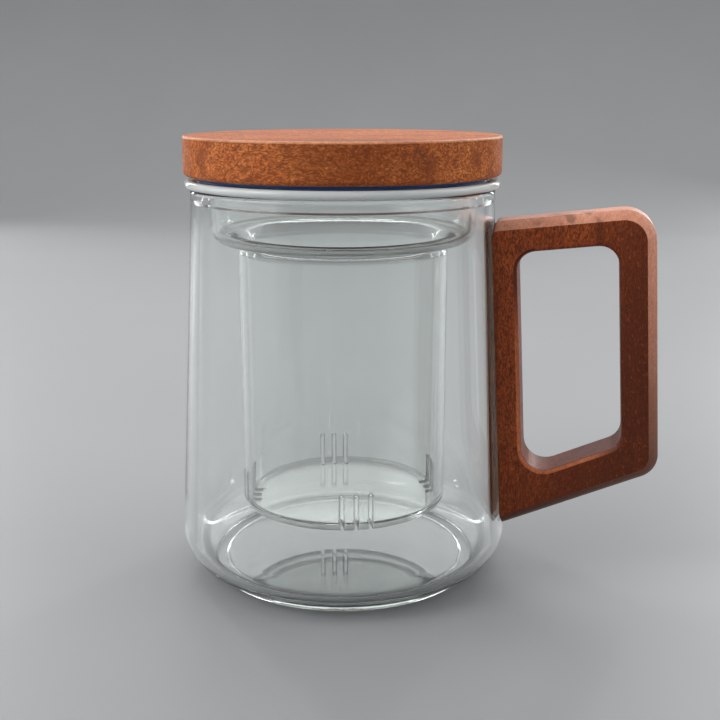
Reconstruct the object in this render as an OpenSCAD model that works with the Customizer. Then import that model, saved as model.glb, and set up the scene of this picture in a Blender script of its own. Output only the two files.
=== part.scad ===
// Lidded tea mug with a lift-out glass infuser.
// The mug's axis is the Z axis, the table is z = 0 and the handle points along +X.
// The mug carries the infuser on its rim, and the infuser's flange carries the lid.

/* [Mug glass] */
// Height of the rim above the table
mug_h = 113; // [106:1:130]
// Outside diameter of the wall just below the rim
mouth_d = 86.4; // [82:0.2:92]
// Outside diameter at the widest place, low on the body
base_d = 96.8; // [94:0.2:104]
// Radius of the rounded heel between wall and base
heel_r = 11.5; // [9:0.5:13]
// Wall thickness below the rim
wall_top_t = 2.7; // [2:0.1:3.2]
// Wall thickness just above the base
wall_low_t = 3.4; // [2.6:0.1:4]
// Thickness of the base
base_t = 4; // [3:0.1:5.5]
// Radius between the inside wall and the inside floor
floor_corner_r = 7; // [5:0.5:9]

/* [Mug rim] */
// Height of the rounded bead that ends the wall
bead_h = 3.6; // [2.2:0.1:4]
// How far the bead stands proud of the wall, on each side
bead_proud = 0.15; // [0.05:0.05:0.4]
// Corner radius of the bead's top
bead_r = 1.1; // [0.6:0.1:1.2]

/* [Mug foot] */
// Outside diameter of the foot ring
foot_d = 78.8; // [70:0.2:82]
// Width of the foot ring
foot_w = 3.2; // [2:0.1:6]
// Height from the table to where the heel begins
foot_h = 1.7; // [1.2:0.1:2.4]
// Height of the hollow inside the foot ring
punt_h = 0.8; // [0.4:0.1:1.4]
// Radius of the foot ring's outer edge
foot_edge_r = 0.5; // [0.2:0.1:0.8]
// Depth of the groove between the foot ring and the heel
foot_groove = 0.3; // [0.1:0.1:0.8]

/* [Infuser glass] */
// Thickness of the flange that rests on the mug's rim
flange_t = 2.5; // [2:0.1:4]
// How far the flange reaches past the wall below the rim
flange_overhang = 1.65; // [0.6:0.05:3]
// Radius of the flange's rounded edge
flange_edge_r = 1.2; // [1:0.1:1.6]
// Angle at which the edge turns into the flange's sloping underside, in degrees
flange_under_a = 60; // [40:5:80]
// Width of that sloping underside
flange_slope_w = 1.1; // [0.6:0.1:1.4]
// Radial gap between the infuser's head and the inside of the mug's mouth
head_gap = 2; // [1:0.1:3]
// Wall thickness of the head
head_wall_t = 1.3; // [1:0.1:2]
// Depth of the head below the mug's rim
head_depth = 15.4; // [12:0.2:20]
// How much the head's radius shrinks towards its bottom
head_taper = 0.7; // [0:0.1:1.5]
// Radius of the head's bottom corner
head_corner_r = 4.5; // [3:0.1:4.6]
// Radius of the rounded edge inside the infuser's mouth
mouth_edge_r = 1.8; // [1:0.1:2.4]
// Radius between the flange's underside and the head
flange_fillet_r = 1.4; // [0.6:0.1:1.6]
// Width of the shoulder between the head and the straight tube
shoulder_w = 7.5; // [7.4:0.1:14]
// Wall thickness of the tube
tube_wall_t = 2.5; // [1.8:0.1:3]
// Depth of the infuser's bottom below the mug's rim
tube_depth = 93.2; // [70:0.2:98]
// Thickness of the infuser's bottom
tube_floor_t = 1.8; // [1.4:0.1:3]
// Radius of the tube's bottom corner
tube_corner_r = 2.5; // [1.9:0.1:4]
// Radius of the neck between the tube and the head
neck_r = 3; // [1.5:0.1:3.2]
// Radius of the edge where the head's floor drops into the tube
neck_in_r = 4; // [2:0.1:5]

/* [Infuser slots] */
// Groups of slots round the bottom corner
slot_groups = 4; // [2:1:6]
// Slots in each group
slots_per_group = 3; // [1:1:4]
// Width of a slot
slot_w = 1.05; // [0.8:0.05:1.6]
// Distance between neighbouring slots
slot_pitch = 3.95; // [2.5:0.05:5]
// Height of a slot on the wall
slot_rise = 10.5; // [4:0.1:14]
// Length of a slot on the bottom
slot_run = 5.3; // [3.5:0.1:8]
// Direction of the first group, turned from the handle
slot_turn = -70.5; // [-90:0.5:0]

/* [Lid] */
// Thickness of the wooden disc
lid_t = 11; // [8:0.5:16]
// How far the lid reaches past the infuser's flange
lid_overhang = 0.15; // [0:0.05:2]
// Radius of the lid's top edge
lid_top_r = 0.6; // [0.5:0.1:3]
// Radius of the lid's bottom edge
lid_low_r = 1.3; // [0.5:0.1:3]
// Depth of the plug below the wooden disc
plug_depth = 5; // [4.4:0.1:7]
// Thickness of the plug's bottom ledge that holds the seal on
ledge_t = 1.2; // [0.8:0.1:1.6]
// How far the ledge stands out past the seal's groove
ledge_proud = 1; // [0.5:0.1:1.2]
// Radius of the ledge's bottom edge
ledge_edge_r = 0.4; // [0.2:0.1:0.6]

/* [Lid seal] */
// Thickness of the seal's lip between the lid and the infuser
lip_t = 1; // [0.6:0.1:2]
// Distance from the lid's edge to the lip's edge
lip_inset = 3.7; // [3:0.1:4.5]
// Thickness of the seal's sleeve round the plug
sleeve_t = 1.6; // [1.4:0.1:2.4]
// Radial gap between the sleeve and the infuser's mouth
seal_gap = 0.3; // [0.2:0.05:0.6]
// How far the sleeve's soft rib stands out into that gap
rib_proud = 0.1; // [0.05:0.05:0.15]
// Radius of the rib
rib_r = 0.6; // [0.4:0.1:0.8]
// Radius of the lip's outer edges
lip_edge_r = 0.3; // [0.1:0.05:0.3]

/* [Handle] */
// Thickness of the wooden plate
handle_t = 14; // [10:0.5:18]
// Distance from the mug's rim down to the plate's top, at the glass
handle_drop = 8.5; // [6:0.5:14]
// Height of the plate's lowest point on the glass above the middle of the heel
handle_rise = 3.1; // [1:0.1:16]
// Distance from the glass to the outside of the grip, half way up the root
handle_reach = 44.3; // [38:0.1:56]
// Slope of the top arm, in degrees
top_slope = 6.5; // [0:0.5:10]
// Slope of the bottom arm, in degrees
low_slope = 23.7; // [12:0.1:26]
// Lean of the grip, in degrees
grip_lean = 3.6; // [0:0.1:5]
// Width of the top arm
top_arm_w = 9.1; // [7:0.1:12]
// Width of the bottom arm
low_arm_w = 11; // [7:0.1:12]
// Width of the grip
grip_w = 10; // [7:0.1:12]
// Width of the bar along the glass
bar_w = 6.4; // [5:0.1:8]
// Radius of the top outer corner
top_corner_r = 8.6; // [4:0.1:12]
// Radius of the bottom outer corner
low_corner_r = 6.8; // [4:0.1:12]
// Radius that eases the top arm's end where it meets the glass
end_r = 1.8; // [0.8:0.1:2]
// Radius of three of the finger opening's corners
opening_r = 5.3; // [3:0.1:7]
// Radius of the finger opening's lowest corner, next to the glass
opening_low_r = 6.3; // [3:0.1:7]
// Width of the bevel all round the plate
plate_bevel = 2.5; // [1:0.1:3]
// How far the middle of that bevel stands proud of a flat one
plate_bevel_crown = 0.25; // [0.1:0.05:0.4]
// Width of the bevel round the finger opening
opening_bevel = 1.3; // [0.3:0.1:2]

/* [Handle bond] */
// Thickness of the adhesive between the glass and the wood
bond_t = 0.3; // [0.1:0.05:0.5]
// Distance from the edge of the wood to the edge of the adhesive
bond_inset = 2.7; // [1.8:0.1:4]
// Clearance between the adhesive and the wood
bond_gap = 0.05; // [0.03:0.01:0.1]

/* [Hidden] */
$fn = 120;
arc_steps = 8;                     // steps in each rounded corner of an outline
hull_fn = 40;                      // sides of the discs that the handle's plate is drawn round
over = 1;                          // how far a cutter runs past what it cuts
sliver = 0.01;                     // thickness of the slices that a bevel is drawn between

// Mug: heights, and the two walls as lines tangent to the corner that each one ends in
base_r = base_d / 2;
mouth_r = mouth_d / 2;
foot_r = foot_d / 2;
bead_z = mug_h - bead_h;
bead_ease = 2 * bead_proud;        // height over which the wall swells out into the bead
floor_z = punt_h + base_t;
heel_c = [base_r - heel_r, foot_h + heel_r];
rim_out = [mouth_r, bead_z];
rim_in = [mouth_r - wall_top_t, bead_z];
corner_c = [base_r - wall_low_t - floor_corner_r, floor_z + floor_corner_r];
wall_a = tangent_angle(rim_out, heel_c, heel_r);
inner_a = tangent_angle(rim_in, corner_c, floor_corner_r);
heel_end_a = -acos((foot_r + foot_groove - heel_c.x) / heel_r);

// Infuser: the flange rests on the rim, and the head hangs inside the mouth
flange_r = mouth_r + flange_overhang;
flange_z = mug_h + flange_t;
head_r = mouth_r - wall_top_t - head_gap;
head_low_r = head_r - head_taper;
head_z = mug_h - head_depth;
head_in_r = head_r - head_wall_t;
tube_r = head_low_r - shoulder_w;
tube_in_r = tube_r - tube_wall_t;
tube_z = mug_h - tube_depth;
head_floor_z = head_z + tube_floor_t;
edge_r = min(flange_edge_r, flange_t / 2);
flange_edge_c = [flange_r - edge_r, flange_z - edge_r];
slope_x = flange_edge_c.x + edge_r * cos(flange_under_a) - flange_slope_w;
// The two curves of the shoulder never take more than its width
shoulder_k = min(1, shoulder_w / (neck_r + head_corner_r));
neck_c = [tube_r + neck_r * shoulder_k, head_z - neck_r * shoulder_k];
head_c = [head_low_r - head_corner_r * shoulder_k, head_z + head_corner_r * shoulder_k];
tube_c = [tube_r - tube_corner_r, tube_z + tube_corner_r];

// Lid and seal: the lip lies on the flange, the sleeve goes round the plug
lid_z = flange_z + lip_t;
lid_r = flange_r + lid_overhang;
lip_r = lid_r - lip_inset;
sleeve_r = head_in_r - seal_gap;
groove_r = sleeve_r - sleeve_t;
ledge_r = groove_r + ledge_proud;
ledge_z = lid_z - plug_depth;
sleeve_low_z = ledge_z + ledge_t;

// Handle: four edge lines, counter-clockwise round the plate with the wood on their left.
// Each is [a point on it, its direction in degrees].
wall_dir = 270 + wall_a;
handle_top_z = mug_h - handle_drop;
handle_low_z = heel_c.y + handle_rise;
handle_mid_z = (handle_top_z + handle_low_z) / 2;
root_disc_r = plate_bevel + over;  // the plate is drawn from inside the glass, then trimmed,
root_sink = 2 * root_disc_r;        // so deep that its two corners in there are cut away
glass_line = [rim_out, wall_dir];
root_edge = shift(glass_line, -root_sink);
low_edge = [[wall_r(handle_low_z), handle_low_z], low_slope];
grip_edge = [[wall_r(handle_mid_z) + handle_reach, handle_mid_z], 90 + grip_lean];
top_edge = [[wall_r(handle_top_z), handle_top_z], 180 + top_slope];
plate_edges = [low_edge, grip_edge, top_edge, root_edge];
plate_corners = [low_corner_r, top_corner_r, root_disc_r, root_disc_r];
opening_edges = [
    shift(low_edge, low_arm_w), shift(grip_edge, grip_w),
    shift(top_edge, top_arm_w), shift(glass_line, bar_w)
];
opening_corners = [opening_r, opening_r, opening_r, opening_low_r];
end_c = meet(shift(top_edge, end_r), shift(glass_line, end_r));
bond_edges = [
    shift(low_edge, bond_inset), shift(grip_edge, grip_w),
    shift(top_edge, bond_inset), root_edge
];
bond_corners = [for (edge = bond_edges) bond_inset];

// The unit vector at an angle
function heading(a) = [cos(a), sin(a)];
// Points along an arc of radius r about c, from angle a to angle b
function arc(c, r, a, b) =
    [for (i = [0 : arc_steps]) c + r * heading(a + (b - a) * i / arc_steps)];
// Angle at which a line down from p touches the outside of the circle (c, r)
function tangent_angle(p, c, r) = atan2(p.y - c.y, p.x - c.x) - acos(r / norm(p - c));
// Outside radius of the mug's wall at height z
function wall_r(z) = mouth_r + (bead_z - z) * tan(wall_a);
// A line moved to its left by w
function shift(line, w) = [line[0] + w * heading(line[1] + 90), line[1]];
// The point where two lines cross
function meet(l, m) =
    let (u = heading(l[1]), v = heading(m[1]))
    l[0] + u * cross(m[0] - l[0], v) / cross(u, v);
// Centre of the corner of radius r after edge i
function corner_mid(edges, i, r) =
    meet(shift(edges[i], r), shift(edges[(i + 1) % len(edges)], r));
// Angle of edge i's outward normal, growing by a full turn round the outline
function out_angle(edges, i) =
    edges[i % len(edges)][1] - 90 + (i >= len(edges) ? 360 : 0);
// Outline of straight edges, with the corner after edge i rounded to radii[i]
function rounded(edges, radii) =
    [for (i = [0 : len(edges) - 1])
        each arc(corner_mid(edges, i, radii[i]), radii[i],
                 out_angle(edges, i), out_angle(edges, i + 1))];

// Solid of revolution from an outline of [radius, height] points
module turned(outline) {
    rotate_extrude() polygon(outline);
}

// Flat plate of the given outline, standing in the XZ plane
module upright(outline, thickness) {
    rotate([90, 0, 0]) linear_extrude(thickness, center = true) polygon(outline);
}

// Solid mug body: the outside of the glass, standing on its foot ring
mug_outside = concat(
    [[foot_r - foot_w, 0]],
    arc([foot_r - foot_edge_r, foot_edge_r], foot_edge_r, -90, 0),
    [[foot_r - foot_groove, foot_h - foot_groove]],
    arc(heel_c, heel_r, heel_end_a, wall_a),
    [rim_out, rim_out + [bead_proud, bead_ease]],
    arc([mouth_r + bead_proud - bead_r, mug_h - bead_r], bead_r, 0, 90)
);

// Inside of the glass, from the rim down to the middle of the floor
mug_inside = concat(
    arc([rim_in.x - bead_proud + bead_r, mug_h - bead_r], bead_r, 90, 180),
    [rim_in + [-bead_proud, bead_ease], rim_in],
    arc(corner_c, floor_corner_r, inner_a, -90),
    [[0, floor_z], [0, punt_h], [foot_r - foot_w - punt_h, punt_h]]
);

module mug_glass() {
    color("#d6e4df", 0.35) turned(concat(mug_outside, mug_inside));
}

// Outside of the infuser, from the middle of its bottom up to the flange
infuser_outside = concat(
    [[0, tube_z]],
    arc(tube_c, tube_corner_r, -90, 0),
    arc(neck_c, neck_c.x - tube_r, 180, 90),
    arc(head_c, head_low_r - head_c.x, -90, 0),
    arc([head_r + flange_fillet_r, mug_h - flange_fillet_r], flange_fillet_r, 180, 90),
    [[slope_x, mug_h]],
    arc(flange_edge_c, edge_r, -flange_under_a, 90)
);

// Inside of the infuser, from the flange down to the middle of the floor
infuser_inside = concat(
    arc([head_in_r + mouth_edge_r, flange_z - mouth_edge_r], mouth_edge_r, 90, 180),
    arc(head_c, head_low_r - head_c.x - tube_floor_t, 0, -90),
    arc([tube_in_r + neck_in_r, head_floor_z - neck_in_r], neck_in_r, 90, 180),
    arc(tube_c, tube_corner_r - tube_floor_t, 0, -90),
    [[0, tube_z + tube_floor_t]]
);

// Slot with round ends, lying along X from x = 0 to x = run
module slot_shape(run) {
    translate([0, -slot_w / 2]) square([run - slot_w / 2, slot_w]);
    translate([run - slot_w / 2, 0]) circle(d = slot_w);
}

// One slot round the bottom corner: up the wall and inwards along the bottom
module corner_slot() {
    wall_x = tube_in_r - over;
    translate([wall_x, 0, tube_z - over])
        rotate([0, -90, 180])
            linear_extrude(tube_r + over - wall_x) slot_shape(slot_rise + over);
    translate([tube_r + over, 0, tube_z - over])
        mirror([1, 0, 0])
            linear_extrude(tube_floor_t + 2 * over) slot_shape(slot_run + over);
}

module infuser_glass() {
    color("#e3efe6", 0.35) difference() {
        turned(concat(infuser_outside, infuser_inside));
        for (group = [0 : slot_groups - 1], i = [0 : slots_per_group - 1])
            rotate([0, 0, slot_turn + group * 360 / slot_groups])
                translate([0, (i - (slots_per_group - 1) / 2) * slot_pitch, 0]) corner_slot();
    }
}

module lid_wood() {
    color("#9c5a37") turned(concat(
        [[0, ledge_z]],
        arc([ledge_r - ledge_edge_r, ledge_z + ledge_edge_r], ledge_edge_r, -90, 0),
        [[ledge_r, sleeve_low_z], [groove_r, sleeve_low_z], [groove_r, lid_z]],
        arc([lid_r - lid_low_r, lid_z + lid_low_r], lid_low_r, -90, 0),
        arc([lid_r - lid_top_r, lid_z + lid_t - lid_top_r], lid_top_r, 0, 90),
        [[0, lid_z + lid_t]]
    ));
}

module lid_seal() {
    rib_c = [sleeve_r + rib_proud - rib_r, (sleeve_low_z + flange_z) / 2];
    rib_a = acos(1 - rib_proud / rib_r);
    color("#16304f") turned(concat(
        [[groove_r, sleeve_low_z], [sleeve_r, sleeve_low_z]],
        arc(rib_c, rib_r, -rib_a, rib_a),
        [[sleeve_r, flange_z]],
        arc([lip_r - lip_edge_r, flange_z + lip_edge_r], lip_edge_r, -90, 0),
        arc([lip_r - lip_edge_r, lid_z - lip_edge_r], lip_edge_r, 0, 90),
        [[groove_r, lid_z]]
    ));
}

// Disc with bevelled edges, standing in the XZ plane: one corner of the handle's plate
module corner_disc(r) {
    face_end = [r - plate_bevel, handle_t / 2];
    rim_end = [r, handle_t / 2 - plate_bevel];
    crown = (face_end + rim_end) / 2 + plate_bevel_crown * heading(45);
    half = [rim_end, crown, face_end, [0, handle_t / 2]];
    rotate([90, 0, 0]) turned(concat([for (i = [3 : -1 : 0]) [half[i].x, -half[i].y]], half));
}

// Bevel round the finger opening, on the face at y = side * handle_t / 2
module opening_bevel_cut(side) {
    spread = opening_bevel + over;
    wide_edges = [for (edge = opening_edges) shift(edge, -spread)];
    wide_corners = [for (r = opening_corners) r + spread];
    hull() {
        translate([0, side * (handle_t / 2 - opening_bevel), 0])
            upright(rounded(opening_edges, opening_corners), sliver);
        translate([0, side * (handle_t / 2 + over), 0])
            upright(rounded(wide_edges, wide_corners), sliver);
    }
}

// What is eased away from the top arm's end, outside a circle that touches arm and glass
module end_cut() {
    reach = end_r + over;
    difference() {
        upright([
            end_c,
            end_c + reach * heading(top_edge[1] - 90),
            meet(shift(top_edge, -over), shift(glass_line, -over)),
            end_c + reach * heading(wall_dir - 90)
        ], handle_t + 2 * over);
        translate([end_c.x, 0, end_c.y])
            rotate([90, 0, 0]) cylinder(h = handle_t + 4 * over, r = end_r, center = true);
    }
}

// Cone that follows the mug's wall, standing off it by gap
module wall_cone(gap) {
    low_z = handle_low_z - root_sink;
    translate([0, 0, low_z])
        cylinder(h = bead_z - low_z, r1 = wall_r(low_z) + gap, r2 = mouth_r + gap);
}

module handle() {
    color("#6f3a26") difference() {
        hull() {
            for (i = [0 : len(plate_edges) - 1]) {
                mid = corner_mid(plate_edges, i, plate_corners[i]);
                translate([mid.x, 0, mid.y]) corner_disc(plate_corners[i], $fn = hull_fn);
            }
        }
        upright(rounded(opening_edges, opening_corners), handle_t + 2 * over);
        for (side = [-1, 1]) opening_bevel_cut(side);
        end_cut();
        wall_cone(bond_t + bond_gap);
    }
}

module handle_bond() {
    color("#c9b892", 0.6) intersection() {
        difference() {
            wall_cone(bond_t);
            wall_cone(0);
        }
        upright(rounded(bond_edges, bond_corners), handle_t - 2 * bond_inset);
    }
}

mug_glass();
handle();
handle_bond();
infuser_glass();
lid_wood();
lid_seal();
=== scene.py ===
# %% [markdown]
# # A lidded tea mug with a glass infuser
# The object is a clear glass mug with a wooden loop handle. A glass infuser hangs in its mouth
# and a wooden lid with a dark blue seal lies on top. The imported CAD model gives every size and
# says which body each piece moves with. Here each piece gets the smooth shape and the finish
# that the camera sees.

# %% Load the fixed frame
import math

import bmesh
import bpy
import numpy as np
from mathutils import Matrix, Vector


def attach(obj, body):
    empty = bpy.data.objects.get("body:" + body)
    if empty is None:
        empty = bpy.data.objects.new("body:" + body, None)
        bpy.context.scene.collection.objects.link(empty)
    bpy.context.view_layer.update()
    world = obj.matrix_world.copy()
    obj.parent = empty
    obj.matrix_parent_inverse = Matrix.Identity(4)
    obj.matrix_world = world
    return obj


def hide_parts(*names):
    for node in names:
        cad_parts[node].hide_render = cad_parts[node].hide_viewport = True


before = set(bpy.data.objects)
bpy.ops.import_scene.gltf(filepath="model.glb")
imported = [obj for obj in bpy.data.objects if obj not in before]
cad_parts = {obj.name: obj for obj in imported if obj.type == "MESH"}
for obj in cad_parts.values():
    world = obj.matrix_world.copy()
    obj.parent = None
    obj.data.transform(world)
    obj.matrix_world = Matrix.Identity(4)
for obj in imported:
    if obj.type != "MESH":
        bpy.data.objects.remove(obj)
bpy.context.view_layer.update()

# %% [markdown]
# ## Camera
# The photograph looks down on the mug by a little under 14 degrees from a short distance, so
# the rings open up towards the base. The place, the two angles and the lens come from fitting
# the rings of lid, flange, tube and base to one perspective.

# %% Stand the camera where the photograph was taken
MM = 0.001                                  # the pieces below are drawn in millimetres
EYE_PLACE = (71.04, -314.70, 140.32)
EYE_DOWN, EYE_TURN = 13.667, 11.851         # degrees below level and round from straight ahead
EYE_LENS, EYE_SENSOR = 55.985, 36

eye = bpy.data.objects.new("eye", bpy.data.cameras.new("eye"))
bpy.context.collection.objects.link(eye)
eye.location = [c * MM for c in EYE_PLACE]
eye.rotation_euler = (math.radians(90 - EYE_DOWN), 0, math.radians(EYE_TURN))
eye.data.sensor_width = EYE_SENSOR
eye.data.lens = EYE_LENS
eye.data.clip_start = 0.01
bpy.context.scene.camera = eye
print("camera stands", round(eye.location.length, 3), "m from the middle of the foot")

# %% [markdown]
# ## Shader maths in plain expressions
# A finish is easier to read as sums than as a list of nodes. A Wire is the output of a node. Its
# operators add Math nodes, so `1 - pores * 0.5` builds what it says, and its method `node` makes
# any other node from its type, its settings and what goes into its sockets.

# %% The Wire class
MIX_COLOURS, MIX_RESULT = (6, 7), 2         # the Mix node's sockets for colours, by number
OWN_PLACE = 3                               # the output with the place on the piece itself


class Wire:
    """The output of a node, with operators that add Math nodes."""

    def __init__(self, tree, socket=None):
        self.tree = tree
        self.socket = socket

    def node(self, kind, settings=None, inputs=None, out=0):
        """Adds a node with these settings; inputs goes by the name or number of a socket."""
        made = self.tree.nodes.new(kind)
        for name, value in (settings or {}).items():
            setattr(made, name, value)
        for key, value in (inputs or {}).items():
            if isinstance(value, Wire):
                self.tree.links.new(value.socket, made.inputs[key])
            else:
                made.inputs[key].default_value = value
        return Wire(self.tree, made.outputs[out])

    def maths(self, operation, a, b):
        return self.node("ShaderNodeMath", {"operation": operation}, {0: a, 1: b})

    def __add__(self, other):
        return self.maths("ADD", self, other)

    def __radd__(self, other):
        return self.maths("ADD", other, self)

    def __sub__(self, other):
        return self.maths("SUBTRACT", self, other)

    def __rsub__(self, other):
        return self.maths("SUBTRACT", other, self)

    def __mul__(self, other):
        return self.maths("MULTIPLY", self, other)

    def __rmul__(self, other):
        return self.maths("MULTIPLY", other, self)

    def between(self, low, high):
        """0 below low, 1 above high, and a smooth step in between; high may be the lower one."""
        return self.node("ShaderNodeMapRange", {"interpolation_type": "SMOOTHSTEP"},
                         {"Value": self, "From Min": low, "From Max": high})


def tinted(factor, colour_a, colour_b):
    """Mixes two colours, each a Wire or three numbers, by a factor, which is a Wire."""
    colours = [c if isinstance(c, Wire) else (*c, 1) for c in (colour_a, colour_b)]
    return factor.node("ShaderNodeMix", {"data_type": "RGBA"},
                       {0: factor, **dict(zip(MIX_COLOURS, colours))}, out=MIX_RESULT)


def stretched(place, scale):
    """A place, as a vector, scaled along each axis: a big number makes the pattern fine there."""
    return place.node("ShaderNodeVectorMath", {"operation": "MULTIPLY"}, {0: place, 1: scale})


def cloud(place, scale=1.0, detail=3.0, rough=0.5):
    """Soft noise from 0 to 1 at a place."""
    return place.node("ShaderNodeTexNoise", {}, {
        "Vector": place, "Scale": scale, "Detail": detail, "Roughness": rough})


def start_finish(name):
    """A new material: returns it, its surface shader and the place on the piece in metres."""
    finish = bpy.data.materials.new(name)
    finish.use_nodes = True
    tree = finish.node_tree
    place = Wire(tree).node("ShaderNodeTexCoord", out=OWN_PLACE)
    return finish, tree.nodes["Principled BSDF"], place


def feed(shader, **values):
    """Sets or links the shader's sockets; an underscore in a name stands for a space."""
    for name, value in values.items():
        socket = shader.inputs[name.replace("_", " ")]
        if isinstance(value, Wire):
            shader.id_data.links.new(value.socket, socket)
        else:
            socket.default_value = value


print("Math nodes come from + - *, others from Wire.node")

# %% [markdown]
# ## Drawing a turned outline
# Both glasses, the lid and the seal are round, so each is half an outline swung about the axis.
# An outline is a list of corners (radius, height, rounding): molten or sanded edges are never
# sharp, so every corner gets its own rounding. Straight lengths get a line of points close to
# each end, which keeps the shading of the roundings from running into the flats.

# %% Outlines with rounded corners


def heading(angle):
    """The step of length 1 in a direction given in degrees."""
    return np.array([math.cos(math.radians(angle)), math.sin(math.radians(angle))])


def arc(centre, radius, start, end, steps):
    """Corners without rounding along an arc; angles in degrees."""
    turn = np.linspace(start, end, steps + 1)
    return [(*(np.array(centre) + radius * heading(a)), 0) for a in turn]


def tangent_corner(centre, radius, start, end):
    """The corner whose rounding is the arc from start to end."""
    half = math.radians((end - start) / 2)
    return (*(np.array(centre) + radius / math.cos(half) * heading((start + end) / 2)), radius)


def rounded(corners, closed=False, step=9.0):
    """Points of an outline whose corners are rounded, one point for each `step` degrees."""
    points = []
    count = len(corners)
    for i, (x, y, radius) in enumerate(corners):
        here = np.array([x, y], float)
        if radius <= 0 or (not closed and i in (0, count - 1)):
            points.append(here)
            continue
        back = np.array(corners[i - 1][:2]) - here
        ahead = np.array(corners[(i + 1) % count][:2]) - here
        back /= np.linalg.norm(back)
        ahead /= np.linalg.norm(ahead)
        half = math.acos(max(-1, min(1, back @ ahead))) / 2
        middle = (back + ahead) / np.linalg.norm(back + ahead)
        centre = here + middle * radius / math.sin(half)
        first = here + back * radius / math.tan(half)
        swing = math.pi - 2 * half
        side = math.copysign(1, back[0] * ahead[1] - back[1] * ahead[0])
        steps = max(3, round(math.degrees(swing) / step))
        for k in range(steps + 1):
            a = -side * swing * k / steps
            arm = first - centre
            points.append(centre + np.array([
                arm[0] * math.cos(a) - arm[1] * math.sin(a),
                arm[0] * math.sin(a) + arm[1] * math.cos(a)]))
    return points


LONGEST = 9.0                               # mm between points on a straight length


def supported(points, near=0.3, closed=False):
    """The outline with points added near the ends of its straight lengths."""
    full = []
    last = len(points) if closed else len(points) - 1
    for i in range(last):
        a, b = points[i], points[(i + 1) % len(points)]
        length = np.linalg.norm(b - a)
        full.append(a)
        if length > 4 * near:
            parts = max(1, math.ceil((length - 2 * near) / LONGEST))
            spots = near + (length - 2 * near) * np.arange(parts + 1) / parts
            full += [a + (b - a) * s / length for s in spots]
    if not closed:
        full.append(points[-1])
    return full


print("a quarter round of 2 mm has", len(rounded([(0, 0, 0), (9, 0, 2), (9, 9, 0)])) - 2, "points")

# %% [markdown]
# ## Swinging an outline into a mesh
# Blender's Screw modifier could swing the outline. Doing it in a few lines here keeps the rows
# and columns of points in hand, which the infuser needs for its slots. A row on the axis is one
# point and closes with triangles.

# %% Rows and columns to a mesh
ON_AXIS = 1e-6                              # rows with a smaller radius, in mm, are one point


def piece_from(name, points, faces, finish, body, node, zones=()):
    """Makes a mesh piece from points in millimetres, hangs it on its body and hides the CAD part it
    replaces.

    zones holds (finish, test) pairs for faces with a finish of their own: the test is given the
    place of a face's middle, in millimetres.
    """
    mesh = bpy.data.meshes.new(name)
    mesh.from_pydata([tuple(float(c) * MM for c in p) for p in points], [], faces)
    shape = bmesh.new()
    shape.from_mesh(mesh)
    bmesh.ops.delete(shape, geom=[v for v in shape.verts if not v.link_faces], context="VERTS")
    bmesh.ops.recalc_face_normals(shape, faces=shape.faces)
    shape.to_mesh(mesh)
    shape.free()
    mesh.shade_smooth()
    piece = bpy.data.objects.new(name, mesh)
    bpy.context.collection.objects.link(piece)
    mesh.materials.append(finish)
    for number, (other, test) in enumerate(zones, 1):
        mesh.materials.append(other)
        chosen = [face for face in mesh.polygons if test(face.center / MM)]
        for face in chosen:
            face.material_index = number
        print(other.name, "covers", len(chosen), "faces")
    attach(piece, body)
    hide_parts(node)
    print(name, "has", len(mesh.vertices), "points and", len(mesh.polygons), "faces")
    return piece


def swing(rows, angles_at, ring=False, skip=()):
    """Points and faces of an outline swung about the axis.

    angles_at(radius) gives the columns' angles. ring joins the last row to the first. skip holds
    (row, column) cells that are left open.
    """
    columns = len(angles_at(1.0))
    points, index = [], []
    for radius, height in rows:
        if radius < ON_AXIS:
            index.append([len(points)] * columns)
            points.append((0, 0, height))
            continue
        index.append(list(range(len(points), len(points) + columns)))
        for angle in angles_at(radius):
            points.append((radius * math.cos(angle), radius * math.sin(angle), height))
    faces = []
    for i in range(len(rows) if ring else len(rows) - 1):
        low, high = index[i], index[(i + 1) % len(rows)]
        for j in range(columns):
            if (i, j) in skip:
                continue
            k = (j + 1) % columns
            face = [low[j], low[k], high[k], high[j]]
            faces.append([v for n, v in enumerate(face) if v != face[n - 1]])
    return points, faces, index


def even_columns(count):
    """Columns at even angles, the same at every radius."""
    turn = np.arange(count) * 2 * math.pi / count
    return lambda radius: turn


print("a piece is rows of the outline by columns round the axis")

# %% [markdown]
# ## Clear glass
# Borosilicate glass is nearly colourless face on, and its thick places look pale green because
# light travels far inside them. In the mug that depth colour comes from Volume Absorption. Blown
# glass also has soft vertical waves and drawn lines, far too shallow to feel, that make its
# reflections run in streaks: a faint bump that is stretched along the axis.
#
# The infuser has four finishes. Its walls are clear. Where the glass is thick and seen from its
# edge, it gathers light and glows; that glow is painted in as a milky finish that scatters a part
# of the light: much of it at the flange's edge, less at the shoulder and the bottom corner. The
# slots get a white, ground finish, a painted highlight in place of the bright lines on their
# polished edges. A volume needs one material on the whole closed piece, so the infuser's tint is
# in its colour.

# %% Glass for the mug and for the infuser


def blown_glass(name, waves, haze, clear=1.0, tints=((0.975, 0.985, 0.98), (0.99, 0.995, 0.992))):
    """Glass with drawn waves; haze is its roughness, clear is how much of the light goes through."""
    finish, shader, place = start_finish(name)
    drawn = cloud(stretched(place, (110, 110, 7)), detail=1.5)
    swell = cloud(stretched(place, (28, 28, 16)), detail=0.5)
    seeds = cloud(place, scale=900, detail=0).between(0.76, 0.82)
    relief = drawn * 0.35 + swell + seeds * 0.02
    clean = cloud(place, scale=60, detail=2).between(0.35, 0.7)
    feed(shader,
         Base_Color=tinted(clean, *tints),
         Roughness=haze * (0.4 + clean),
         IOR=1.473,
         Transmission_Weight=clear,
         Normal=relief.node("ShaderNodeBump", {}, {
             "Height": relief, "Strength": waves, "Distance": 0.0004}))
    return finish


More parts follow.
